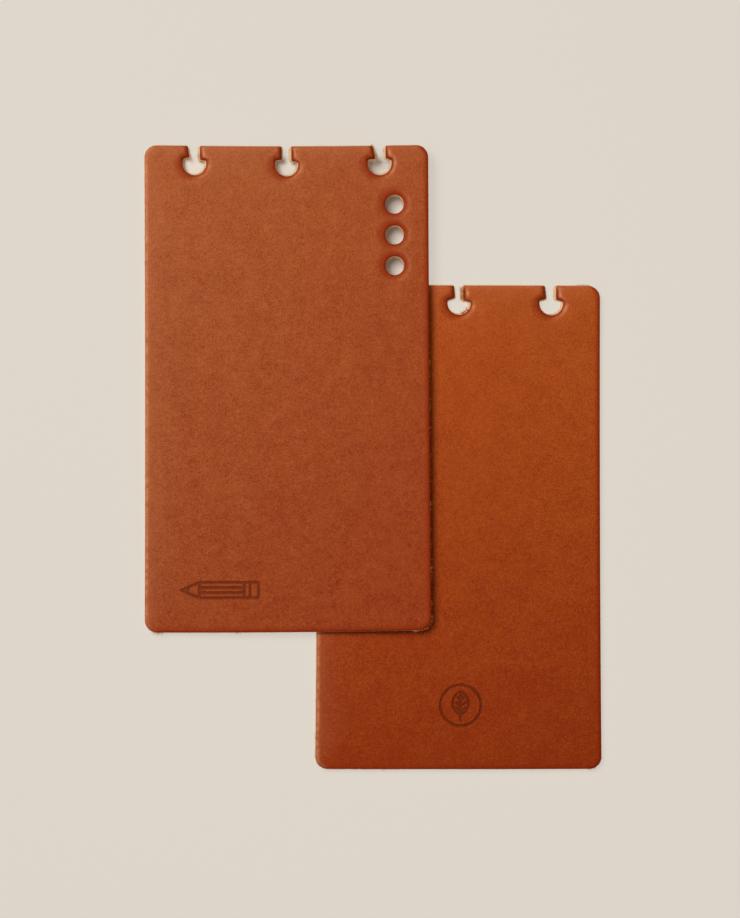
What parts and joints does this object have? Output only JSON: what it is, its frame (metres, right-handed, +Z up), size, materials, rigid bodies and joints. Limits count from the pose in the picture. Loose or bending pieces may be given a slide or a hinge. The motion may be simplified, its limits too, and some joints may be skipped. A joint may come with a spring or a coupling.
{
  "type": "leather notebook cover",
  "caption": "Loose pair of die-cut leather covers for a disc-bound pocket notebook, with notched binding edges, round windows and small blind stamps.",
  "frame": {"origin": "middle of the pair's footprint, on the surface that the covers lie on", "axes": "+Z up, +Y towards the notched binding edges, +X to the right as the grain sides are seen from above"},
  "size_m": [0.1252, 0.1712, 0.0059],
  "materials": {
    "front_leather": "smooth chestnut-tan vegetable-tanned leather, satin grain side, raw pale cut edges",
    "back_leather": "the same leather from another part of the hide, a little more orange"
  },
  "bodies": {
    "back": {"back_cover": "back_leather"},
    "front": {"front_cover": "front_leather"}
  },
  "joints": [
    {"name": "front_cover_lift_over", "type": "slide", "parent": "back", "child": "front", "axis": [0.7623, -0.6163, 0.1979], "range_m": [0, 0.06166]}
  ]
}
